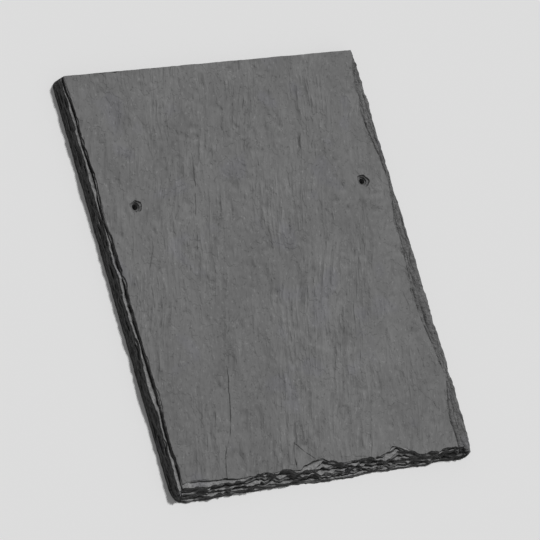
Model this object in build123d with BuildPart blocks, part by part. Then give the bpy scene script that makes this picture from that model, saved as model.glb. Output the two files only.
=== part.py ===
# Slate roof tile: one slab of slate, split to thickness, with dressed edges and two punched nail holes.
# The tile lies flat on its back. X runs along the course, +Y towards the head, +Z out of the face.
# The origin is the middle of the back. All sizes are in millimetres.
import os
from dataclasses import dataclass
from build123d import *


@dataclass
class DressedSide:
    """One side of the tile: how its edge breaks back from the face, and where it is chipped deeper."""

    # How far a broken layer leans back for each millimetre that it rises
    lean: float
    # The width of the ledge left in front of each layer above the lowest
    treads: list
    # For each of those layers, its chips: the middle along the side, the length and the depth
    chips: list


# Slab
tile_width = 305.0
tile_length = 356.0
tile_thickness = 12.0

# The slate splits into layers. This is where each one above the lowest starts, as a share of the thickness.
layer_starts = [0.17, 0.36, 0.57, 0.77, 0.92]

# The corners are knocked off a little, and break back further in each layer than the sides beside them.
corner_radius = 5.0
corner_spread = 0.6

# Positions along the butt are measured from its left end, and along the left and right sides from the butt.
butt = DressedSide(
    lean=0.35,
    treads=[0.9, 0.8, 0.7, 0.5, 0.3],
    chips=[
        [(26, 30, 2.4), (50, 22, 1.6), (94, 28, 2.0), (138, 26, 1.4), (184, 34, 1.8), (216, 26, 1.2),
         (262, 30, 0.8)],
        [(36, 52, 3.4), (64, 26, 2.0), (99, 36, 3.0), (146, 32, 2.4), (189, 38, 2.0), (224, 34, 2.4),
         (280, 24, 1.2)],
        [(32, 60, 4.6), (60, 34, 3.4), (96, 44, 4.4), (146, 32, 3.8), (176, 34, 2.2), (222, 40, 4.8)],
        [(40, 70, 4.4), (90, 60, 4.8), (145, 34, 6.4), (178, 38, 3.4), (218, 40, 8.6), (279, 24, 2.2)],
        [(14, 44, 8.6), (48, 50, 5.6), (92, 62, 4.6), (143, 42, 9.0), (170, 34, 4.2), (196, 30, 2.6),
         (219, 38, 10.2), (236, 26, 5.6), (278, 30, 2.4)],
    ],
)
left_side = DressedSide(
    lean=0.15,
    treads=[0.3, 0.4, 3.0, 0.5, 0.9],
    chips=[
        [(40, 60, 0.5), (112, 60, 0.6), (196, 70, 0.5), (290, 70, 0.5)],
        [(30, 40, 0.8), (84, 50, 0.9), (150, 50, 0.7), (206, 50, 0.9), (268, 60, 0.8), (330, 40, 0.6)],
        [(26, 40, 0.9), (96, 50, 1.1), (178, 50, 1.1), (258, 46, 0.9)],
        [(24, 36, 0.8), (98, 40, 1.2), (176, 44, 1.2), (264, 44, 0.9)],
        [(22, 36, 1.4), (84, 44, 1.8), (140, 36, 0.7), (178, 36, 1.6), (254, 40, 1.4), (300, 36, 0.8)],
    ],
)
right_side = DressedSide(
    lean=0.55,
    treads=[1.4, 1.2, 1.2, 1.2, 1.8],
    chips=[
        [(26, 44, 1.2), (110, 60, 0.8), (210, 60, 1.2), (320, 50, 0.8)],
        [(24, 44, 2.6), (60, 40, 1.2), (130, 50, 1.4), (176, 56, 2.8), (312, 60, 1.8)],
        [(20, 44, 4.4), (46, 40, 3.0), (146, 50, 3.2), (186, 54, 4.2), (226, 40, 1.6), (328, 60, 2.8)],
        [(24, 60, 7.4), (50, 40, 4.0), (142, 50, 5.6), (172, 56, 6.6), (208, 40, 3.2), (302, 60, 4.8),
         (334, 40, 3.2)],
        [(14, 40, 8.0), (34, 52, 9.8), (124, 50, 2.6), (150, 50, 7.6), (178, 50, 6.6), (208, 40, 4.4),
         (290, 50, 6.2), (320, 46, 4.8)],
    ],
)

# The head is cut straight and is covered by the next courses.
head = DressedSide(lean=0.0, treads=[0.0, 0.0, 0.0, 0.0, 0.0], chips=[[], [], [], [], []])

# A chip's broken face leans back for each millimetre that it rises.
chip_lean = 0.5

# Nail holes, punched from the back, so that each one breaks out in a crater on the face
nail_hole_diameter = 4.5
nail_hole_spacing = 229.0
nail_hole_from_head = 114.0
nail_crater_diameter = 12.0
nail_crater_angle = 118.0

layer_heights = [0.0] + [share * tile_thickness for share in layer_starts] + [tile_thickness]
layer_count = len(layer_heights) - 1


def setbacks(side):
    """How far each layer's foot and crest stand back from the outline of the tile's back."""
    feet_and_crests = []
    foot = 0.0
    for layer in range(layer_count):
        if layer > 0:
            foot += side.treads[layer - 1]
        crest = foot + side.lean * (layer_heights[layer + 1] - layer_heights[layer])
        feet_and_crests.append((foot, crest))
        foot = crest
    return feet_and_crests


def layer_outline(layer, level):
    """The outline of a layer at its foot (level 0) or its crest (level 1), before it is chipped."""
    back, front = setbacks(head)[layer][level], setbacks(butt)[layer][level]
    left, right = setbacks(left_side)[layer][level], setbacks(right_side)[layer][level]
    with Locations(((left - right) / 2, (front - back) / 2)):
        RectangleRounded(
            tile_width - left - right,
            tile_length - front - back,
            corner_radius + corner_spread * front,
        )


def chip_side(side, to_tile):
    """Break the chips out of one side. A chip is a shallow cone that starts on a ledge."""
    for layer, layer_chips in enumerate(side.chips, start=1):
        ledge = layer_heights[layer]
        rise = tile_thickness - ledge
        chips = []
        for along, length, depth in layer_chips:
            radius = (length**2 / 4 + depth**2) / (2 * depth)
            x, y = to_tile(along, setbacks(side)[layer][0] + depth - radius)
            chip = Cone(
                bottom_radius=radius,
                top_radius=radius + chip_lean * rise,
                height=rise,
                align=(Align.CENTER, Align.CENTER, Align.MIN),
                mode=Mode.PRIVATE,
            )
            chips.append(chip.moved(Location((x, y, ledge))))
        add(chips, mode=Mode.SUBTRACT)


# The slab
with BuildPart() as slate_tile:
    for layer in range(layer_count):
        with BuildSketch(Plane.XY.offset(layer_heights[layer])):
            layer_outline(layer, 0)
        with BuildSketch(Plane.XY.offset(layer_heights[layer + 1])):
            layer_outline(layer, 1)
        loft()

    chip_side(butt, lambda along, inward: (along - tile_width / 2, inward - tile_length / 2))
    chip_side(left_side, lambda along, inward: (inward - tile_width / 2, along - tile_length / 2))
    chip_side(right_side, lambda along, inward: (tile_width / 2 - inward, along - tile_length / 2))

    with Locations((0, tile_length / 2 - nail_hole_from_head, tile_thickness)):
        with GridLocations(nail_hole_spacing, 0, 2, 1):
            CounterSinkHole(
                radius=nail_hole_diameter / 2,
                counter_sink_radius=nail_crater_diameter / 2,
                counter_sink_angle=nail_crater_angle,
            )

slate_tile.part.label = "slate_tile"

os.makedirs("parts", exist_ok=True)
export_step(slate_tile.part, "parts/slate_tile.step")
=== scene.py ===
import math

import bpy
import numpy as np
from mathutils import Matrix, Vector


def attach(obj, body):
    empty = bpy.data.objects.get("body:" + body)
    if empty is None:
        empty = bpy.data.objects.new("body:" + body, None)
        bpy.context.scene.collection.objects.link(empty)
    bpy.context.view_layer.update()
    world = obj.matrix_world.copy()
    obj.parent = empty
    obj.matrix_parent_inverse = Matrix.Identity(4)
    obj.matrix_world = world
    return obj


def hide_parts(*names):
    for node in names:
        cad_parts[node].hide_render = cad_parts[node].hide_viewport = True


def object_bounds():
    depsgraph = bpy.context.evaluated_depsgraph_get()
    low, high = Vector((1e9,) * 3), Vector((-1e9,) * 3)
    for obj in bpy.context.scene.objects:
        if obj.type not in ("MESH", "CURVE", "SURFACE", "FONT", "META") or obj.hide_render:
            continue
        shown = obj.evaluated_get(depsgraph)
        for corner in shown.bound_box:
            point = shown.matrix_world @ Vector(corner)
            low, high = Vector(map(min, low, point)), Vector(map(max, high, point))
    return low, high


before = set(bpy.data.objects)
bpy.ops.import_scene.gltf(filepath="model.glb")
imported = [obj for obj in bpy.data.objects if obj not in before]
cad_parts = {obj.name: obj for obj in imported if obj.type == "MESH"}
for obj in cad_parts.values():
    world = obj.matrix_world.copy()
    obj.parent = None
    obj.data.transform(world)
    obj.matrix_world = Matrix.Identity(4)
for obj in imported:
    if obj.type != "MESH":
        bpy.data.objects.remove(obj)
cadLow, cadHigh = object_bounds()

mm = 0.001
metre = 1000  # in mm
tileWidth = (cadHigh.x - cadLow.x) / mm
tileLength = (cadHigh.y - cadLow.y) / mm
tileThickness = (cadHigh.z - cadLow.z) / mm
middleX = (cadHigh.x + cadLow.x) / 2 / mm
middleY = (cadHigh.y + cadLow.y) / 2 / mm


# Smooth noise, -1 to 1, from a fixed table of random numbers. Each seed reads it from another place.
noise = {
    "size": 256,
    "start": 7,  # seed of the table itself
    "seedShift": (37.31, 11.77),  # how far one seed is from the next in the table
    "octaveSeed": 5,  # seeds from one octave to the next
}
noiseTable = np.random.default_rng(noise["start"]).uniform(-1, 1, (noise["size"], noise["size"]))


def ease(t):
    return t * t * t * (t * (t * 6 - 15) + 10)


def smoothNoise(u, v, seed):
    u = np.asarray(u, float) + noise["seedShift"][0] * seed
    v = np.asarray(v, float) + noise["seedShift"][1] * seed
    iu, iv = np.floor(u).astype(int), np.floor(v).astype(int)
    fu, fv = ease(u - iu), ease(v - iv)
    size = noise["size"]
    a = noiseTable[iv % size, iu % size]
    b = noiseTable[iv % size, (iu + 1) % size]
    c = noiseTable[(iv + 1) % size, iu % size]
    d = noiseTable[(iv + 1) % size, (iu + 1) % size]
    return (a * (1 - fu) + b * fu) * (1 - fv) + (c * (1 - fu) + d * fu) * fv


def octaves(u, v, seed, count, fall=0.5):
    total, weight, size = 0.0, 1.0, 0.0
    for k in range(count):
        total = total + weight * smoothNoise(u * 2**k, v * 2**k, seed + noise["octaveSeed"] * k)
        size += weight
        weight *= fall
    return total / size


# 0 below low, 1 above high, and smooth between them
def ramp(value, low, high):
    t = np.clip((value - low) / (high - low), 0, 1)
    return t * t * (3 - 2 * t)


# The layers that the slate splits along, and how their broken edges look. Lengths are in mm.
# A pair marked "strays" gives how far something strays, and the length over which it turns back.
layers = {
    "starts": [0.17, 0.36, 0.57, 0.77, 0.92],  # share of the thickness
    "drift": (0.45, 16.0),  # strays: the height of a layer
    "rough": (0.45, 6.5),  # strays: the top of its tread
    "roughFall": 0.7,
    "leanSwing": (0.8, 16.0),  # strays: the lean, as a share of it
    "sliverLength": 9.0,
    "sliverShown": (-0.1, 0.6),  # noise at which a small tread starts and is whole
    "raggedShare": [0.7, 1.2, 1.3, 1.2, 0.9, 0.4],  # from the foot to the top layer
    "bites": [(24, 0.7), (11, 1.0), (6, 0.8), (3, 0.5)],  # length of a bite, and its share of "ragged"
    "halfway": 0.5,  # share of a riser's height above which its small tread starts
    "treadGap": 0.04,  # least tread where two ledges run together
    "riserGap": 0.02,
    "cleft": 0.55,  # how far the foot of a broken layer is plucked down
    "cleftLength": 7.0,
    "cleftShown": (-0.7, 0.1),  # noise at which a cleft starts and is whole
    "cleftTread": (0.1, 0.8),  # width of tread at which a cleft starts and is whole
    "wornHighlightWidth": 0.7,  # widest worn band behind a crest, over which its painted highlight spreads
    "brokenBand": 0.02,  # share of the top layer over which the broken edge turns to the face
}

# Each side's ledges in mm, from the foot to the top layer: how far in each stands, at places along the side.
# The butt and head are followed from the left corner, and the two long sides from the butt.
butt = {
    "seed": 300,
    "lean": 0.60,  # mm in for each mm up
    "band": 28.0,  # where the even grid begins
    "ragged": 1.6,  # depth of the bites
    "sliver": 0.45,  # width of the small tread halfway up a broken layer
    "braid": (7.5, 1.9),  # how far apart ledges run together and part, and how far each one swings
    "cleftReach": 0.0,  # how much of a cleft reaches over the tread in front of it, deepening it and spreading the cleft's painted shade
    "wearAndHighlight": 1.0,  # how worn and pale the crests are, and how strong their painted highlight is
    "riserSteps": [0.0, 0.5, 0.52, 1.0],  # rows up a riser
    "treadSteps": [0.4, 0.75],  # rows over a tread
    "faceSteps": [0.05, 0.13, 0.25, 0.42, 0.68, 1.0],  # rows from the top crest to the even grid
    "ledges": [
        [(0, 1.2), (45, 0.4), (62, 1.5), (90, 1.5), (178, 0), (201, 1.3), (214, 0.2), (236, 0), (305, 1.0)],
        [(0, 1.0), (26, 2.0), (38, 1.2), (50, 1.8), (72, 1.0), (94, 2.6), (108, 1.6), (138, 2.6),
         (166, 1.2), (184, 2.8), (200, 1.6), (214, 2.2), (246, 0.8), (262, 1.6), (305, 1.0)],
        [(0, 1.8), (16, 2.8), (45, 3.4), (70, 2.6), (100, 4.8), (124, 3.2), (148, 4.6), (160, 3.2),
         (228, 4.8), (255, 2.2), (280, 3.4), (305, 1.6)],
        [(0, 4.4), (16, 5.8), (30, 5.6), (45, 6.2), (70, 6.2), (85, 8.4), (100, 9.2), (133, 5.2),
         (145, 8.2), (163, 6.0), (175, 6.8), (190, 6.0), (225, 9.2), (236, 8.0), (247, 5.2), (278, 5.6),
         (305, 2.8)],
        [(0, 5.6), (16, 7.6), (58, 7.6), (72, 8.8), (88, 10.4), (122, 7.4), (133, 8.0), (145, 12.2),
         (163, 8.0), (175, 9.6), (190, 8.6), (205, 9.2), (213, 13.0), (220, 14.4), (247, 6.2), (261, 5.8),
         (278, 7.8), (305, 4.0)],
        [(0, 13.0), (16, 15.4), (58, 11.8), (100, 11.6), (122, 9.6), (126, 12.8), (136, 15.4), (145, 16.0),
         (160, 10.0), (168, 11.2), (197, 9.2), (209, 10.8), (217, 17.2), (233, 13.2), (241, 8.8),
         (247, 6.8), (261, 6.4), (278, 8.6), (290, 6.6), (305, 5.6)],
    ],
}
leftSide = {
    "seed": 100,
    "lean": 0.10,
    "band": 14.0,
    "ragged": 0.65,
    "sliver": 1.3,
    "braid": (16.0, 0.9),
    "cleftReach": 1.3,
    "wearAndHighlight": 1.0,
    "riserSteps": [0.0, 0.5, 0.52, 1.0],
    "treadSteps": [0.12, 0.4, 0.75],
    "faceSteps": [0.07, 0.18, 0.36, 0.62, 1.0],
    "ledges": [
        [(0, 0.8), (30, 0.2), (356, 0.2)],
        [(0, 1.0), (170, 0.4), (250, 0.8), (356, 0.5)],
        [(0, 1.8), (30, 1.2), (80, 1.6), (120, 1.0), (190, 1.8), (356, 1.0)],
        [(0, 2.6), (24, 2.2), (60, 2.9), (96, 2.0), (130, 2.8), (180, 2.2), (225, 3.0), (262, 2.2),
         (356, 1.8)],
        [(0, 6.2), (24, 6.8), (62, 5.8), (100, 7.4), (134, 5.6), (176, 7.2), (236, 5.2), (266, 6.8),
         (300, 5.6), (330, 6.0), (356, 4.0)],
        [(0, 6.6), (20, 7.2), (62, 6.2), (84, 8.2), (100, 7.8), (142, 6.0), (178, 8.0), (236, 5.6),
         (256, 7.4), (300, 5.8), (335, 6.4), (356, 4.2)],
    ],
}
rightSide = {
    "seed": 200,
    "lean": 0.50,
    "band": 38.0,
    "ragged": 1.3,
    "sliver": 1.6,
    "braid": (22.0, 1.6),
    "cleftReach": 1.4,
    "wearAndHighlight": 0.15,
    "riserSteps": [0.0, 0.5, 0.52, 1.0],
    "treadSteps": [0.12, 0.4, 0.75],
    "faceSteps": [0.05, 0.12, 0.22, 0.36, 0.54, 0.76, 1.0],
    "ledges": [
        [(0, 1.0), (90, 0.2), (140, 0.8), (190, 0), (240, 0.7), (356, 0.5)],
        [(0, 2.0), (26, 3.4), (60, 2.0), (110, 2.8), (160, 1.6), (210, 3.4), (270, 2.0), (320, 3.0),
         (356, 1.4)],
        [(0, 4.4), (24, 7.0), (92, 4.0), (176, 7.6), (262, 4.0), (312, 6.4), (356, 3.0)],
        [(0, 8.0), (20, 12.0), (78, 6.8), (186, 11.6), (256, 7.0), (330, 10.0), (356, 5.0)],
        [(0, 12.0), (16, 16.4), (36, 17.0), (56, 12.6), (68, 9.8), (80, 10.6), (104, 14.6), (130, 16.6),
         (172, 16.6), (238, 10.0), (300, 15.0), (334, 13.0), (356, 7.0)],
        [(0, 17.6), (14, 22.4), (37, 22.2), (56, 17.6), (67, 13.8), (80, 15.4), (104, 19.6), (128, 21.6),
         (156, 20.6), (206, 17.0), (232, 13.0), (262, 14.2), (290, 19.0), (340, 15.0), (356, 9.0)],
    ],
}
# Cut straight, so its ledges are only a trace
head = {
    "seed": 400,
    "lean": 0.0,
    "band": 3.0,
    "ragged": 0.10,
    "sliver": 0.04,
    "braid": (30.0, 0.0),
    "cleftReach": 0.0,
    "riserSteps": [0.0, 0.5, 1.0],
    "treadSteps": [],
    "faceSteps": [0.3, 1.0],
    "ledges": [[(0, 0.0)], [(0, 0.02)], [(0, 0.04)], [(0, 0.06)], [(0, 0.08)], [(0, 0.1)]],
}


# Ragged bites out of an edge: rounded inwards, with sharp points left between them
def bites(along, seed):
    total = along * 0
    for k, (length, share) in enumerate(layers["bites"]):
        total = total + share * np.abs(smoothNoise(along / length, along * 0 + k, seed + k))
    return total


# Rows of one side, from its foot to the even grid: how far each stands in, which layer it is on,
# and how far it lies in the cleft at the foot of a broken layer
def sideRows(side, along):
    count = len(layers["starts"]) + 1
    heights = [0.0] + [share * tileThickness for share in layers["starts"]] + [tileThickness]
    seed = side["seed"]
    leanSwing, leanLength = layers["leanSwing"]
    braidLength, braidSwing = side["braid"]
    still = along * 0
    rows, steps, clefts = [], [], []
    last = still
    for layer in range(count):
        places, insets = zip(*side["ledges"][layer])
        raggedShare = layers["raggedShare"][layer]
        swing = braidSwing * octaves(along / braidLength, still + layer, seed + 70 + 7 * layer, count=2)
        foot = np.interp(along, places, insets) + swing * raggedShare * (layer > 0)
        lift = heights[layer + 1] - heights[layer]
        leaning = octaves(along / leanLength, still + layer, seed + 30 + layer, count=2)
        lean = side["lean"] * lift * (1 + leanSwing * leaning)
        sliver = octaves(along / layers["sliverLength"], still + layer, seed + 50 + layer, count=3)
        sliver = side["sliver"] * ramp(sliver, *layers["sliverShown"])
        ragged = side["ragged"] * raggedShare
        for step in side["riserSteps"]:
            upper = step > layers["halfway"]
            inset = foot + lean * step + ragged * bites(along, seed + 10 * layer + (3 if upper else 0))
            if upper:
                inset = inset + sliver
            gap = layers["riserGap"] if step else layers["treadGap"]
            inset = np.maximum(inset, last + gap * (layer + step > 0))
            dip = still
            if step == 0.0 and layer:
                dip = octaves(along / layers["cleftLength"], still, seed + 90 + layer, count=2)
                dip = ramp(dip, *layers["cleftShown"]) * ramp(inset - last, *layers["cleftTread"])
                for k, treadStep in enumerate(side["treadSteps"]):
                    reach = (inset - last) * treadStep
                    rows.append(last + (reach if k else np.minimum(reach, layers["wornHighlightWidth"])))
                    steps.append(layer)
                    clefts.append(np.clip(dip * side["cleftReach"] * treadStep**3, 0, 1))
            clefts.append(dip)
            rows.append(inset)
            steps.append(layer + step)
            last = inset
    for step in side["faceSteps"]:
        rows.append(last + (side["band"] - last) * step)
        steps.append(count)
        clefts.append(still)
    rows = np.array(rows)
    return rows - rows[0].min(), np.array(steps, float), np.array(clefts)


def layerHeight(layer, x, y):
    if layer == 0:
        return np.zeros_like(x + y)
    drift, driftLength = layers["drift"]
    rough, roughLength = layers["rough"]
    height = layers["starts"][layer - 1] * tileThickness
    height = height + drift * smoothNoise(x / driftLength, y / driftLength, 20 + layer)
    bumps = octaves(x / roughLength, y / roughLength, 40 + layer, count=3, fall=layers["roughFall"])
    return height + rough * bumps


# The split face. Heights and sizes are in mm, and a size is across the grain, then along it.
riven = {
    "spacing": 1.36,  # even mesh grid
    "grainTurn": 18.0,  # degrees from the tile's length, towards the right
    "wave": 0.50,
    "waveSize": (70, 130),
    "flake": 0.30,
    "flakeSize": (34.0, 110.0),
    "flakeCount": 2.6,  # thin flakes for each 1 that the noise rises
    "flakeEdge": (0.92, 1.0),  # share of a flake over which its edge drops
    "streak": 0.05,
    "streakSize": (2.6, 22),
    "ripple": 0.90,
    "rippleSize": (6.5, 22),
    "rippleLeast": 0.45,  # share of the ripples that is left in calm patches
    "calmSize": (26, 50),
    "calmNoise": (-0.25, 0.35),  # calm, and fully rippled
    "scar": 1.3,
    "scarSize": (6, 11),
    "scarFloor": 0.22,  # noise below this plucks nothing out
    "highest": 2,  # percent of the face that reaches the full thickness
    "buttCorner": 15.0,  # radius
    "headCorner": 7.0,
    "sharpAngle": 32.0,  # degrees between faces that show an edge
}

# Flakes lost from the face: middle x and y from the butt's left corner, radii across and along,
# turn in degrees, depth, and the direction in degrees of the sharp side (0 is right, 90 is up)
lostFlakes = {
    "wobble": 0.16,  # share of the radius that the outline strays
    "wobbleLength": 14,
    "edge": 1.2,  # width of the drop at the outline
    "sharpSide": (-0.35, 0.9),  # shares of the radius towards the sharp side: the loss starts, and is whole
    "places": [
        (100, 62, 46, 60, -20, 0.34, 172),
        (134, 16, 12, 17, 12, 0.36, 80),
        (258, 74, 26, 46, 6, 0.50, 20),
        (252, 62, 12, 20, -16, 0.30, 200),
        (30, 132, 34, 60, -14, 0.28, 0),
        (196, 150, 60, 46, -20, 0.42, 215),
        (84, 236, 52, 72, -12, 0.40, 20),
        (214, 262, 46, 70, -16, 0.38, 170),
        (140, 318, 70, 30, 0, 0.30, 250),
        (44, 300, 24, 44, -10, 0.30, 10),
        (250, 200, 18, 26, -14, 0.34, 190),
    ],
}


# Noise stretched along the grain, with a size in mm across the grain and along it
def grainNoise(x, y, size, seed, count, fall=0.5):
    turn = math.radians(riven["grainTurn"])
    across = x * math.cos(turn) - y * math.sin(turn)
    along = x * math.sin(turn) + y * math.cos(turn)
    return octaves(across / size[0], along / size[1], seed, count, fall)


# Depth of the riven face below the highest plane, in mm, not yet levelled
def faceDepth(x, y):
    wave = riven["wave"] * grainNoise(x, y, riven["waveSize"], seed=1, count=3)
    field = riven["flakeCount"] * grainNoise(x, y, riven["flakeSize"], seed=3, count=4, fall=0.55)
    level = np.floor(field)
    flake = riven["flake"] * (level + ramp(field - level, *riven["flakeEdge"]))
    streak = riven["streak"] * grainNoise(x, y, riven["streakSize"], seed=9, count=2)
    least = riven["rippleLeast"]
    strong = ramp(grainNoise(x, y, riven["calmSize"], seed=17, count=2), *riven["calmNoise"])
    strong = least + (1 - least) * strong
    ripple = riven["ripple"] * strong * grainNoise(x, y, riven["rippleSize"], seed=12, count=2)
    scar = grainNoise(x, y, riven["scarSize"], seed=15, count=3, fall=0.6) - riven["scarFloor"]
    depth = wave + flake + streak + ripple + riven["scar"] * np.maximum(scar, 0)
    length = lostFlakes["wobbleLength"]
    for cx, cy, rx, ry, turn, lost, sharp in lostFlakes["places"]:
        angle, sharp = math.radians(turn), math.radians(sharp)
        dx, dy = x - cx, y - cy
        u = (dx * math.cos(angle) + dy * math.sin(angle)) / rx
        v = (dy * math.cos(angle) - dx * math.sin(angle)) / ry
        wobble = lostFlakes["wobble"] * octaves(x / length, y / length, 60 + int(cx), count=4, fall=0.6)
        r = np.sqrt(u * u + v * v) + wobble
        towards = (dx * math.cos(sharp) + dy * math.sin(sharp)) / max(rx, ry)
        inside = ramp(-r * min(rx, ry), -min(rx, ry), lostFlakes["edge"] - min(rx, ry))
        depth = depth + lost * inside * ramp(towards, *lostFlakes["sharpSide"])
    return depth


# Hairline cracks and the thin outlines of flakes. Lengths are in mm.
cracks = {
    "stray": 0.7,
    "strayLength": 7,
    "far": 3.0,  # further off than this is as good as no crack
    "fade": (1.5, 2.7),  # distances at which a crack's marks start to fade and are gone
    "gapLength": 6,
    "gapNoise": (-0.4, 0.3),  # closed, and open
    "openness": (1.6, 0.6),  # how much strength opens a crack, and the strength at which it changes nothing
    # How strong each one is, then its points from the butt's left corner
    "lines": [
        (0.8, [(49, 12), (51, 23), (54, 32), (59, 40), (65, 50), (69, 60), (72, 72), (76, 86), (80, 101)]),
        (1.0, [(118, 15), (119, 23), (122, 33), (129, 26), (137, 19)]),
        (0.5, [(160, 18), (170, 15), (182, 14), (192, 12)]),
        (0.5, [(272, 46), (268, 62), (273, 84), (270, 108), (276, 130), (273, 152)]),
        (0.4, [(266, 196), (272, 214), (270, 240), (277, 262)]),
        (0.7, [(88, 210), (93, 232), (101, 256), (106, 280)]),
        (0.5, [(226, 268), (232, 290), (236, 312)]),
        (0.5, [(30, 168), (34, 190), (42, 204), (47, 226)]),
    ],
}


# How far each spot is to the left or right of the nearest crack, in mm, and how clearly that crack shows
def crackLines(x, y):
    far = cracks["far"]
    length = cracks["strayLength"]
    wx = x + cracks["stray"] * octaves(x / length, y / length, seed=75, count=2)
    nearest = np.full_like(x, np.inf)
    offset = np.full_like(x, far)
    strength = np.zeros_like(x)
    for share, line in cracks["lines"]:
        for (ax, ay), (bx, by) in zip(line[:-1], line[1:]):
            dx, dy = bx - ax, by - ay
            t = np.clip(((wx - ax) * dx + (y - ay) * dy) / (dx * dx + dy * dy), 0, 1)
            distance = np.hypot(wx - ax - t * dx, y - ay - t * dy)
            side = np.where((wx - ax) * dy - (y - ay) * dx > 0, 1.0, -1.0)
            closer = distance < nearest
            nearest = np.where(closer, distance, nearest)
            offset = np.where(closer, side * distance, offset)
            strength = np.where(closer, share, strength)
    gain, even = cracks["openness"]
    length = cracks["gapLength"]
    opened = octaves(x / length, y / length, seed=77, count=2) + gain * (strength - even)
    shown = strength * (1 - ramp(nearest, *cracks["fade"])) * ramp(opened, *cracks["gapNoise"])
    return np.clip(offset, -far, far), shown


# The split back, in mm. The shares are of its depth, and a size is across the grain, then along it.
splitBack = {
    "gridEvery": 3,  # it uses every third line of the face's grid
    "from": (400, 90),  # so that it doesn't repeat the face
    "depth": 0.9,
    "waveShare": 0.35,
    "waveSize": (60, 120),
    "flakeShare": 0.22,
    "flakeSize": (40, 110),
    "flakeCount": 2.2,
    "flakeEdge": (0.8, 1.0),
    "streakShare": 0.08,
    "streakSize": (6, 18),
    "lowest": 12,  # percent of the back that touches what the tile lies on
    "rim": (0.5, 9),  # distances from the outline at which the relief starts and is whole
}


def backRelief(x, y):
    x, y = x + splitBack["from"][0], y + splitBack["from"][1]
    wave = grainNoise(x, y, splitBack["waveSize"], seed=31, count=3)
    field = splitBack["flakeCount"] * grainNoise(x, y, splitBack["flakeSize"], seed=33, count=4)
    level = np.floor(field)
    flake = level + ramp(field - level, *splitBack["flakeEdge"])
    streak = grainNoise(x, y, splitBack["streakSize"], seed=35, count=2)
    depth = splitBack["depth"] * (splitBack["waveShare"] * wave + splitBack["flakeShare"] * flake
                                  + splitBack["streakShare"] * streak)
    return np.maximum(depth - np.percentile(depth, splitBack["lowest"]), 0)


# The back's points and faces: a coarser grid that shares the front's outline
def closeBack(x, y, index):
    rows, columns = index.shape
    every = splitBack["gridEvery"]
    keepColumns = sorted({*range(0, columns, every), columns - 1})
    keepRows = sorted({*range(0, rows, every), rows - 1})
    backIndex = {}
    points, faces = [], []
    for j in keepRows:
        for i in keepColumns:
            if i in (0, columns - 1) or j in (0, rows - 1):
                backIndex[j, i] = int(index[j, i])
                continue
            backIndex[j, i] = index.size + len(points)
            points.append((x[j, i], y[j, i], 0.0))
    points = np.array(points)
    px, py = points[:, 0], points[:, 1]
    rim = np.minimum.reduce([px, tileWidth - px, py, tileLength - py])
    points[:, 2] = backRelief(px, py) * ramp(rim, *splitBack["rim"])

    # A face at the outline also takes in the front's points that the coarser grid leaves out
    for j0, j1 in zip(keepRows[:-1], keepRows[1:]):
        for i0, i1 in zip(keepColumns[:-1], keepColumns[1:]):
            loop = [backIndex[j0, i0]]
            if i0 == 0:
                loop += [int(index[j, 0]) for j in range(j0 + 1, j1)]
            loop.append(backIndex[j1, i0])
            if j1 == rows - 1:
                loop += [int(index[j1, i]) for i in range(i0 + 1, i1)]
            loop.append(backIndex[j1, i1])
            if i1 == columns - 1:
                loop += [int(index[j, i1]) for j in range(j1 - 1, j0, -1)]
            loop.append(backIndex[j0, i1])
            if j0 == 0:
                loop += [int(index[0, i]) for i in range(i1 - 1, i0, -1)]
            faces.append(loop)
    return points, faces


def evenLines(low, high):
    count = int(round((high - low) / riven["spacing"]))
    return np.linspace(low, high, count + 1)[1:-1]


# Draws the mesh in at the four corners, so that a square patch becomes a quarter of a disc
def roundCorner(x, y):
    for endX in (0, tileWidth):
        for endY, size in ((0, riven["buttCorner"]), (tileLength, riven["headCorner"])):
            a, b = np.abs(x - endX), np.abs(y - endY)
            near = (a < size) & (b < size)
            u, v = 1 - a / size, 1 - b / size
            newA = size * (1 - u * np.sqrt(np.maximum(1 - v * v / 2, 0)))
            newB = size * (1 - v * np.sqrt(np.maximum(1 - u * u / 2, 0)))
            x = np.where(near, endX + np.sign(tileWidth / 2 - endX) * newA, x)
            y = np.where(near, endY + np.sign(tileLength / 2 - endY) * newB, y)
    return x, y


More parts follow.
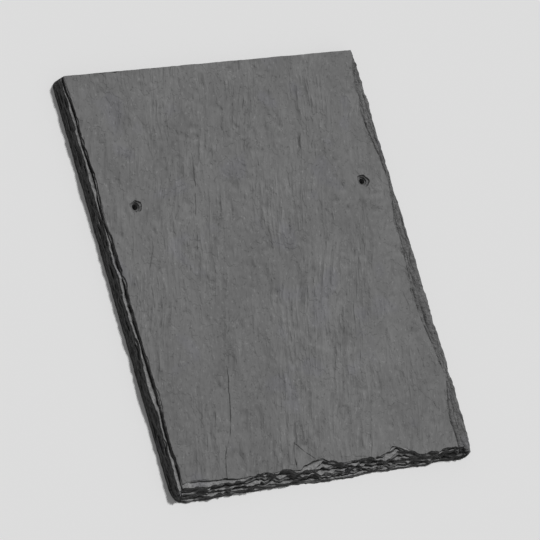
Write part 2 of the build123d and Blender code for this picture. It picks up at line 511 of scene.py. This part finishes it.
# The tile's mesh, as one grid drawn in along the ledges of each side, with a back of its own
def buildTile():
    evenX = evenLines(leftSide["band"], tileWidth - rightSide["band"])
    evenY = evenLines(butt["band"], tileLength - head["band"])

    # Where each line stands on average, over places 5 mm apart along its side
    places = np.linspace(0, 300, 61)
    plainLeft, plainRight, plainButt, plainHead = (
        sideRows(side, places)[0].mean(1) for side in (leftSide, rightSide, butt, head))
    lineX = np.concatenate([plainLeft, evenX, tileWidth - plainRight[::-1]])
    lineY = np.concatenate([plainButt, evenY, tileLength - plainHead[::-1]])
    columns, rows = len(lineX), len(lineY)

    insetLeft, stepLeft, cleftLeft = sideRows(leftSide, lineY)
    insetRight, stepRight, cleftRight = sideRows(rightSide, lineY)
    insetButt, stepButt, cleftButt = sideRows(butt, lineX)
    insetHead, stepHead = sideRows(head, lineX)[:2]
    left, right = slice(0, len(insetLeft)), slice(columns - len(insetRight), columns)
    front, rear = slice(0, len(insetButt)), slice(rows - len(insetHead), rows)

    x = np.tile(lineX, (rows, 1))
    y = np.tile(lineY[:, None], (1, columns))
    x[:, left] = insetLeft.T
    x[:, right] = tileWidth - insetRight.T[:, ::-1]
    y[front] = insetButt
    y[rear] = tileLength - insetHead[::-1]
    x, y = roundCorner(x, y)

    # Which layer each point is on: the lowest that any side gives it
    layerCount = len(layers["starts"]) + 1
    stepX, stepY = np.full(columns, float(layerCount)), np.full(rows, float(layerCount))
    stepX[left], stepX[right] = stepLeft, stepRight[::-1]
    stepY[front], stepY[rear] = stepButt, stepHead[::-1]
    step = np.minimum(stepX[None, :], stepY[:, None])
    onFace = step >= layerCount

    # Where it lies in a cleft, and how worn the crests are there, with their painted highlight
    cleft = np.zeros_like(x)
    cleft[:, left], cleft[:, right] = cleftLeft.T, cleftRight.T[:, ::-1]
    cleft[front] = np.maximum(cleft[front], cleftButt)
    cleft = np.where(onFace, 0, cleft)
    wearAndHighlight = np.full_like(x, butt["wearAndHighlight"])
    wearAndHighlight[:, left], wearAndHighlight[:, right] = leftSide["wearAndHighlight"], rightSide["wearAndHighlight"]

    depth = faceDepth(x, y)
    face = tileThickness - np.maximum(depth - np.percentile(depth[onFace], riven["highest"]), 0)
    heights = [layerHeight(layer, x, y) for layer in range(layerCount)] + [face]
    z = np.zeros_like(x)
    for layer in range(layerCount):
        here = (step >= layer) & (step <= layer + 1)
        share = step - layer
        z = np.where(here, heights[layer] * (1 - share) + heights[layer + 1] * share, z)
    z = z - layers["cleft"] * cleft * (step > 0)

    index = np.arange(rows * columns).reshape(rows, columns)
    corners = (index[:-1, :-1], index[:-1, 1:], index[1:, 1:], index[1:, :-1])
    faces = np.stack(corners, 2).reshape(-1, 4).tolist()
    backPoints, backFaces = closeBack(x, y, index)
    points = np.concatenate([np.stack([x, y, z], 2).reshape(-1, 3), backPoints])
    points[:, 0] += middleX - tileWidth / 2
    points[:, 1] += middleY - tileLength / 2
    mesh = bpy.data.meshes.new("slateTile")
    mesh.from_pydata((points * mm).tolist(), [], faces + backFaces)
    mesh.validate()

    # Marks for the material: broken stone, worn crests with a painted highlight, clefts that take painted
    # shade, and cracks
    crest = np.isclose(step % 1.0, 0.0) & (step > 0) & ~onFace
    crackOffset, crackShown = crackLines(x, y)
    marks = {
        "broken": 1 - ramp(step, layerCount - layers["brokenBand"], layerCount),
        "crest": crest * wearAndHighlight * (1 - cleft),
        "cleft": cleft,
        "crackOffset": crackOffset,
        "crackShown": crackShown * onFace,
    }
    for name, share in marks.items():
        values = np.zeros(len(points), np.float32)
        values[:rows * columns] = share.ravel()
        mesh.attributes.new(name, "FLOAT", "POINT").data.foreach_set("value", values)
    return mesh


# In mm. The crater is ragged, in lobes: how many, their share of the radius, the angle in radians where they
# start, and how much further on that is at the second hole.
nailHoles = {
    "spacing": 229.0,
    "fromHead": 114.0,
    "diameter": 4.5,
    "craterDiameter": 12.0,
    "craterDepth": 2.3,
    "lobes": [(2, 0.14, 1.3, 1.0), (5, 0.09, 0.0, 2.1)],
    "ragged": 0.05,
    "raggedFrom": 1.2,  # times the bore's radius
    "clear": 1.0,  # how far the punch stands out of the back and the face
    "around": 40,  # points round each ring
    "seed": 5,
}


# Punched from the back: a plain bore below, and a ragged crater where it breaks out of the face
def nailPunch(hole, cx, cy, random):
    around = nailHoles["around"]
    bore = nailHoles["diameter"] / 2
    crater = nailHoles["craterDiameter"] / 2
    floor = tileThickness - nailHoles["craterDepth"]
    # Radius and height of each ring
    profile = [
        (bore, -nailHoles["clear"]),
        (bore, floor - 1.2),
        (bore * 1.15, floor - 0.3),
        (bore * 1.5, floor + 0.1),
        (crater * 0.62, floor + 0.8),
        (crater * 0.80, floor + 1.25),
        (crater, floor + nailHoles["craterDepth"]),
        (crater * 1.12, tileThickness + nailHoles["clear"]),
    ]
    points, faces = [], []
    ragged = random.uniform(-1, 1, (len(profile), around))
    for ring, (radius, height) in enumerate(profile):
        for n in range(around):
            angle = 2 * math.pi * n / around
            lobes = sum(share * math.sin(count * angle + start + hole * onward)
                        for count, share, start, onward in nailHoles["lobes"])
            swing = lobes + nailHoles["ragged"] * ragged[ring, n]
            r = radius * (1 + swing * ramp(radius, bore * nailHoles["raggedFrom"], crater))
            points.append(((cx + r * math.cos(angle)) * mm, (cy + r * math.sin(angle)) * mm, height * mm))
    for ring in range(len(profile) - 1):
        for n in range(around):
            a, b = ring * around + n, ring * around + (n + 1) % around
            faces.append((a, b, b + around, a + around))
    faces.append(tuple(range(around - 1, -1, -1)))
    faces.append(tuple((len(profile) - 1) * around + n for n in range(around)))
    mesh = bpy.data.meshes.new("nailPunch")
    mesh.from_pydata(points, [], faces)
    return mesh


def cutNailHoles(tile):
    random = np.random.default_rng(nailHoles["seed"])
    for hole, sideways in enumerate((-0.5, 0.5)):
        cx = middleX + sideways * nailHoles["spacing"]
        cy = middleY + tileLength / 2 - nailHoles["fromHead"]
        punch = bpy.data.objects.new("nailPunch", nailPunch(hole, cx, cy, random))
        bpy.context.scene.collection.objects.link(punch)
        cut = tile.modifiers.new("nailHole", "BOOLEAN")
        cut.operation = "DIFFERENCE"
        cut.solver = "EXACT"
        cut.object = punch
        bpy.context.view_layer.update()
        evaluated = tile.evaluated_get(bpy.context.evaluated_depsgraph_get())
        cutMesh = bpy.data.meshes.new_from_object(evaluated)
        tile.modifiers.clear()
        tile.data = cutMesh
        bpy.data.objects.remove(punch)


def linearColour(hexText):
    channels = [int(hexText[k:k + 2], 16) / 255 for k in (1, 3, 5)]
    return [c / 12.92 if c <= 0.04045 else ((c + 0.055) / 1.055) ** 2.4 for c in channels] + [1.0]


# Adds a node. Each of its inputs takes a value, an output, or a node that stands for its first output.
def addNode(tree, kind, inputs=None, **settings):
    node = tree.nodes.new(kind)
    for name, value in settings.items():
        setattr(node, name, value)
    for name, value in (inputs or {}).items():
        if isinstance(value, bpy.types.Node):
            value = value.outputs[0]
        if isinstance(value, bpy.types.NodeSocket):
            tree.links.new(value, node.inputs[name])
        else:
            node.inputs[name].default_value = value
    return node


def newMaterial(name):
    material = bpy.data.materials.new(name)
    material.use_nodes = True
    tree = material.node_tree
    tree.nodes.clear()
    return material, tree


slate = {
    "colour": "#696969",
    "violet": "#69696b",
    "reliefMm": 0.24,
    "swayMm": (70.0, 7.0),  # how far apart the grain bends, and how far it bends
    "lensSeam": 0.5,  # noise at the seams between lenses
    "flakeCount": 11.0,  # how many thin flakes their noise is cut into
    "flakeRelief": 0.6,
    "outlineAt": 0.93,  # share of a flake at which its outline lies
    "crackTone": 0.25,
    "crackRelief": -1.4,
    # Each pattern's size in mm across the grain, along it and through the stone, its detail and roughness.
    # Slate's own grain is too fine to show, so "grain", "speck" and "grit" are as coarse as they need to be.
    "patterns": {
        "mottle": (36, 90, 36, 2, 0.55),
        "blotch": (12, 30, 12, 2, 0.55),
        "streak": (3.0, 30, 3.0, 2, 0.55),
        "ripple": (6.0, 26, 6.0, 2, 0.55),
        "lens": (9, 50, 9, 2, 0.5),
        "grain": (2.0, 5.0, 2.0, 1, 0.5),
        "speck": (2.2, 3.6, 2.2, 1, 0.55),
        "patch": (26, 50, 26, 2, 0.55),
        "flake": (30, 46, 30, 5, 0.58),
        "outline": (20, 30, 20, 1, 0.55),
        "tint": (34, 30, 34, 1, 0.55),
        "bedding": (16, 16, 0.7, 3, 0.55),
        "grit": (3.6, 3.6, 2.0, 4, 0.6),
    },
    # What each look is read from, the two values it is read between, and what they turn into
    "looks": {
        # How clearly something shows
        "patchShown": ("patch", 0.42, 0.62, 0.1, 1.0),
        "rippleShown": ("patchShown", 0.1, 1.0, 0.45, 1.0),
        "outlineShown": ("outline", 0.48, 0.58, 0.0, 1.0),
        "violetShown": ("tint", 0.62, 0.70, 0.0, 1.0),
        "lensShown": ("lensAway", 0.0, 0.10, 0.0, 1.0),
        # How light it is, against the plain colour
        "mottleTone": ("mottle", 0.3, 0.7, 0.89, 1.09),
        "blotchTone": ("blotch", 0.3, 0.7, -0.12, 0.12),
        "streakTone": ("streak", 0.3, 0.7, -0.13, 0.25),
        "lensTone": ("lensShown", 0.0, 1.0, -0.08, 0.03),
        "grainTone": ("grain", 0.3, 0.7, -0.07, 0.07),
        "paleSpeck": ("speck", 0.65, 0.74, 0.0, 0.35),
        "darkSpeck": ("speck", 0.26, 0.34, -0.35, 0.0),
        "outlineTone": ("outlineAway", 0.0, 0.07, -0.07, 0.0),
        # Bedding lines on the broken stone, which is also painted darker overall as shade
        "beddingAndShadeTone": ("bedding", 0.3, 0.7, 0.64, 0.95),
        "gritTone": ("grit", 0.3, 0.7, -0.28, 0.28),
        # Pale worn crests, lightened further by a painted highlight
        "crestWearAndHighlight": ("crest", 0.0, 1.0, 1.0, 1.9),
        # Painted shade: darker in the clefts between layers, where shade falls
        "paintedCleftShade": ("cleft", 0.0, 0.8, 1.0, 0.3),
        # How high it stands, against "reliefMm"
        "streakRelief": ("streak", 0.3, 0.7, -1.3, 1.3),
        "grainRelief": ("grain", 0.3, 0.7, -0.15, 0.15),
        "rippleRelief": ("ripple", 0.3, 0.7, -0.8, 0.8),
        "lensRelief": ("lensShown", 0.0, 1.0, 0.0, 1.1),
        "flakeEdge": ("flakePart", 0.90, 1.0, 0.0, 1.0),
        "beddingRelief": ("bedding", 0.3, 0.7, -1.2, 1.2),
        "gritRelief": ("grit", 0.3, 0.7, -1.6, 1.6),
        # A crack's line, and the step across it, by the distance in mm from its middle
        "crackLine": ("crackAway", 0.12, 0.62, 1.0, 0.0),
        "crackStep": ("crackOffset", -0.4, 0.4, 0.0, 0.9),
        "dullness": ("blotch", 0.3, 0.7, 0.58, 0.74),
    },
    # Looks that show only where another one lets them
    "shownBy": {
        "streakTone": "patchShown",
        "lensTone": "patchShown",
        "outlineTone": "outlineShown",
        "streakRelief": "patchShown",
        "lensRelief": "patchShown",
        "rippleRelief": "rippleShown",
        "crackLine": "crackShown",
        "crackStep": "crackShown",
    },
    "sums": {
        "faceTone": ["mottleTone", "blotchTone", "streakTone", "lensTone", "grainTone", "paleSpeck",
                     "darkSpeck", "outlineTone"],
        "faceRelief": ["streakRelief", "grainRelief", "rippleRelief", "lensRelief", "flakeRelief",
                       "crackStep", "crackRelief"],
        "brokenToneAndShade": ["beddingAndShadeTone", "gritTone"],
        "brokenRelief": ["beddingRelief", "gritRelief"],
    },
}


# Slate, split along its bed: dull grey with a fine, patchy grain. The broken edges show thin dark layers and
# are painted darker overall as shade, with painted shade in the clefts between them and pale worn crests with
# a painted highlight.
def rivenSlate():
    material, tree = newMaterial("rivenSlate")
    swayLength, swayReach = slate["swayMm"]
    place = addNode(tree, "ShaderNodeTexCoord").outputs["Object"]
    sway = addNode(tree, "ShaderNodeTexNoise", {"Vector": place, "Scale": metre / swayLength, "Detail": 1.0})
    shift = addNode(tree, "ShaderNodeVectorMath", {0: sway.outputs["Color"], 1: (0.5, 0.5, 0.5)},
                    operation="SUBTRACT")
    shift = addNode(tree, "ShaderNodeVectorMath", {0: shift, 1: (2 * swayReach * mm, 0.0, 0.0)},
                    operation="MULTIPLY")
    swayed = addNode(tree, "ShaderNodeVectorMath", {0: place, 1: shift}, operation="ADD")
    turn = math.radians(riven["grainTurn"])
    turned = addNode(tree, "ShaderNodeVectorRotate", {"Vector": swayed, "Angle": turn},
                     rotation_type="Z_AXIS")

    # The patterns in the stone, and the marks that the mesh carries
    look = {}
    for name, (acrossMm, alongMm, thickMm, detail, roughness) in slate["patterns"].items():
        stretch = (metre / acrossMm, metre / alongMm, metre / thickMm)
        stretched = addNode(tree, "ShaderNodeVectorMath", {0: turned, 1: stretch}, operation="MULTIPLY")
        look[name] = addNode(tree, "ShaderNodeTexNoise", {"Vector": stretched, "Scale": 1.0, "Detail": detail,
                                                          "Roughness": roughness})
    for name in ("broken", "crest", "cleft", "crackShown", "crackOffset"):
        look[name] = addNode(tree, "ShaderNodeAttribute", attribute_name=name).outputs["Fac"]

    flakes = addNode(tree, "ShaderNodeMath", {0: look["flake"], 1: slate["flakeCount"]}, operation="MULTIPLY")
    flakeLevel = addNode(tree, "ShaderNodeMath", {0: flakes}, operation="FLOOR")
    look["flakePart"] = addNode(tree, "ShaderNodeMath", {0: flakes}, operation="FRACT")

    # How far each spot is from a seam between lenses, an outline or a crack
    lines = {
        "lensAway": ("lens", slate["lensSeam"]),
        "outlineAway": ("flakePart", slate["outlineAt"]),
        "crackAway": ("crackOffset", 0.0),
    }
    for name, (source, middle) in lines.items():
        offset = addNode(tree, "ShaderNodeMath", {0: look[source], 1: middle}, operation="SUBTRACT")
        look[name] = addNode(tree, "ShaderNodeMath", {0: offset}, operation="ABSOLUTE")

    for name, (source, fromLow, fromHigh, toLow, toHigh) in slate["looks"].items():
        look[name] = addNode(tree, "ShaderNodeMapRange", {"Value": look[source], "From Min": fromLow,
                             "From Max": fromHigh, "To Min": toLow, "To Max": toHigh})
    for name, shown in slate["shownBy"].items():
        look[name] = addNode(tree, "ShaderNodeMath", {0: look[name], 1: look[shown]}, operation="MULTIPLY")

    flakeStep = addNode(tree, "ShaderNodeMath", {0: flakeLevel, 1: look["flakeEdge"]}, operation="ADD")
    look["flakeRelief"] = addNode(tree, "ShaderNodeMath", {0: flakeStep, 1: slate["flakeRelief"]},
                                  operation="MULTIPLY")
    look["crackRelief"] = addNode(tree, "ShaderNodeMath", {0: look["crackLine"], 1: slate["crackRelief"]},
                                  operation="MULTIPLY")
    look["crackTone"] = addNode(tree, "ShaderNodeMapRange", {"Value": look["crackLine"], "To Min": 1.0,
                                                             "To Max": slate["crackTone"]})
    for name, (first, *others) in slate["sums"].items():
        look[name] = look[first]
        for other in others:
            look[name] = addNode(tree, "ShaderNodeMath", {0: look[name], 1: look[other]}, operation="ADD")

    # The broken stone's tone is darker than the face, partly as painted shade
    tone = addNode(tree, "ShaderNodeMix", {0: look["broken"], 2: look["faceTone"], 3: look["brokenToneAndShade"]},
                   data_type="FLOAT")
    # Painted highlight on the crests, painted shade in the clefts, and the cracks' own dark lines
    for name in ("crestWearAndHighlight", "paintedCleftShade", "crackTone"):
        tone = addNode(tree, "ShaderNodeMath", {0: tone, 1: look[name]}, operation="MULTIPLY")
    plainColour = addNode(tree, "ShaderNodeMix", {0: look["violetShown"], 6: linearColour(slate["colour"]),
                          7: linearColour(slate["violet"])}, data_type="RGBA").outputs[2]
    colour = addNode(tree, "ShaderNodeVectorMath", {0: plainColour, "Scale": tone}, operation="SCALE")

    # Relief too fine for the mesh
    relief = addNode(tree, "ShaderNodeMix", {0: look["broken"], 2: look["faceRelief"],
                     3: look["brokenRelief"]}, data_type="FLOAT")
    bump = addNode(tree, "ShaderNodeBump", {"Height": relief, "Strength": 1.0,
                                            "Distance": slate["reliefMm"] * mm})
    surface = addNode(tree, "ShaderNodeBsdfPrincipled", {"Base Color": colour, "Roughness": look["dullness"],
                      "IOR": 1.5, "Specular IOR Level": 0.35, "Normal": bump})
    addNode(tree, "ShaderNodeOutputMaterial", {"Surface": surface})
    return material


studio = {
    "paper": "#f2f2f2",
    "paperBounce": "#808080",
    "paperSize": 7.0,  # metres
    "keyFrom": (0.52, 0.46, 0.72),  # upper right
    "keyStrength": 2.62,
    "keyAngle": 8.0,  # degrees, which softens the shadow's edge
    "sky": "#ffffff",
    "skyStrength": 0.21,
    "cameraTo": (-0.5969, -0.2102, 0.7743),  # from the tile to the camera
    "cameraUp": (0.1002, 0.9377, 0.3327),  # up in the picture
    "cameraDistance": 3.615,  # metres
    "cameraFar": 50,  # metres, past which nothing is drawn
    "lens": 300.0,
    "sensor": 36,
}


# Matt paper. The camera and mirrors see it pale, while it bounces light as a mid grey does.
def studioPaper():
    material, tree = newMaterial("studioPaper")
    rays = addNode(tree, "ShaderNodeLightPath").outputs
    seen = rays["Is Camera Ray"]
    for other in ("Is Glossy Ray", "Is Transmission Ray"):
        seen = addNode(tree, "ShaderNodeMath", {0: seen, 1: rays[other]}, operation="MAXIMUM")
    colour = addNode(tree, "ShaderNodeMix", {0: seen, 6: linearColour(studio["paperBounce"]),
                     7: linearColour(studio["paper"])}, data_type="RGBA").outputs[2]
    surface = addNode(tree, "ShaderNodeBsdfPrincipled", {"Base Color": colour, "Roughness": 0.9,
                      "Specular IOR Level": 0.0})
    addNode(tree, "ShaderNodeOutputMaterial", {"Surface": surface})
    return material


def buildStudio():
    size = studio["paperSize"] / 2
    corners = [(-size, -size, 0), (size, -size, 0), (size, size, 0), (-size, size, 0)]
    mesh = bpy.data.meshes.new("paper")
    mesh.from_pydata(corners, [], [(0, 1, 2, 3)])
    paper = bpy.data.objects.new("paper", mesh)
    paper.location.z = cadLow.z
    mesh.materials.append(studioPaper())
    bpy.context.scene.collection.objects.link(paper)

    lamp = bpy.data.lights.new("key", "SUN")
    lamp.energy = studio["keyStrength"]
    lamp.angle = math.radians(studio["keyAngle"])
    key = bpy.data.objects.new("key", lamp)
    key.rotation_euler = Vector(studio["keyFrom"]).to_track_quat("Z", "Y").to_euler()
    bpy.context.scene.collection.objects.link(key)

    world = bpy.data.worlds.new("sky")
    world.use_nodes = True
    background = world.node_tree.nodes["Background"]
    background.inputs["Color"].default_value = linearColour(studio["sky"])
    background.inputs["Strength"].default_value = studio["skyStrength"]
    bpy.context.scene.world = world

    camera = bpy.data.cameras.new("camera")
    camera.lens = studio["lens"]
    camera.sensor_width = studio["sensor"]
    camera.clip_end = studio["cameraFar"]
    eye = bpy.data.objects.new("camera", camera)
    backward = Vector(studio["cameraTo"]).normalized()
    right = Vector(studio["cameraUp"]).cross(backward).normalized()
    up = backward.cross(right)
    target = (cadLow + cadHigh) / 2
    place = Matrix((right, up, backward)).transposed().to_4x4()
    place.translation = target + backward * studio["cameraDistance"]
    eye.matrix_world = place
    bpy.context.scene.collection.objects.link(eye)
    bpy.context.scene.camera = eye
    bpy.context.scene.view_settings.view_transform = "Standard"


print("slate tile: mesh")
tile = bpy.data.objects.new("slateTile", buildTile())
bpy.context.scene.collection.objects.link(tile)
print("slate tile: nail holes")
cutNailHoles(tile)
tile.data.polygons.foreach_set("use_smooth", [True] * len(tile.data.polygons))
tile.data.set_sharp_from_angle(angle=math.radians(riven["sharpAngle"]))
tile.data.materials.clear()
tile.data.materials.append(rivenSlate())
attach(tile, "root")
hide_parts("slate_tile")
print("slate tile: faces", len(tile.data.polygons), "points", len(tile.data.vertices))

print("studio")
buildStudio()
